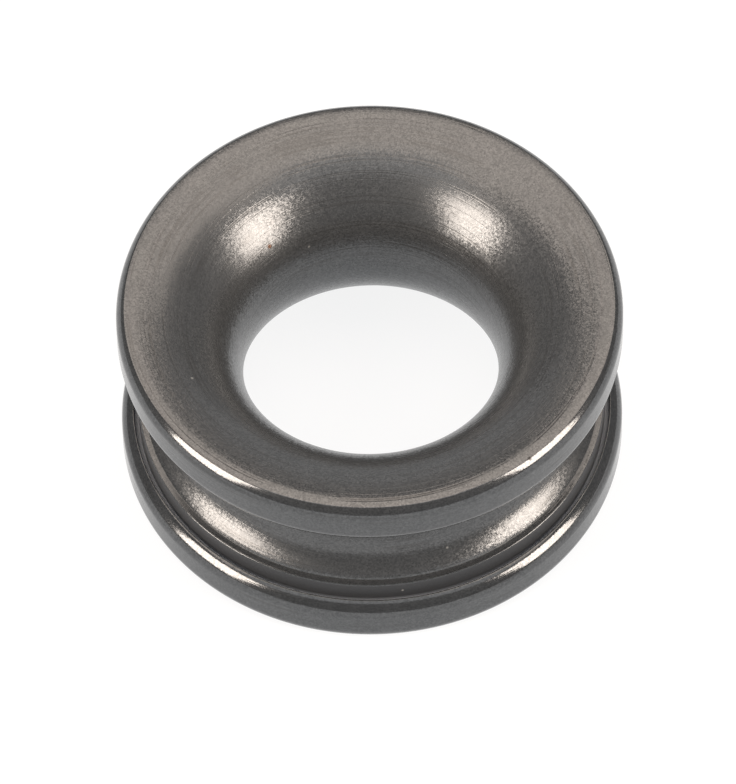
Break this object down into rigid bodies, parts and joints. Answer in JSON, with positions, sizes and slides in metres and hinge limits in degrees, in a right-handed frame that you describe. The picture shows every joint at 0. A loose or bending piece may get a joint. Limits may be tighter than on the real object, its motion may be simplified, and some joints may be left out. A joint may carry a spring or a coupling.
{
  "type": "rope fairlead eye",
  "caption": "Low-friction ring: a turned eye with a bell-mouthed bore for a running rope and a groove round its outside for the loop that holds it.",
  "frame": {"origin": "centre of the ring, on the eye's axis at the mid-plane", "axes": "+Z along the axis of the eye; the ring is the same on both faces and all round, so +X and +Y are any two square directions in its mid-plane"},
  "size_m": [0.04, 0.04, 0.0176],
  "materials": {
    "anodised": "hard anodised, dark grey-brown, satin"
  },
  "bodies": {
    "root": {"fairlead_ring": "anodised"}
  },
  "joints": []
}
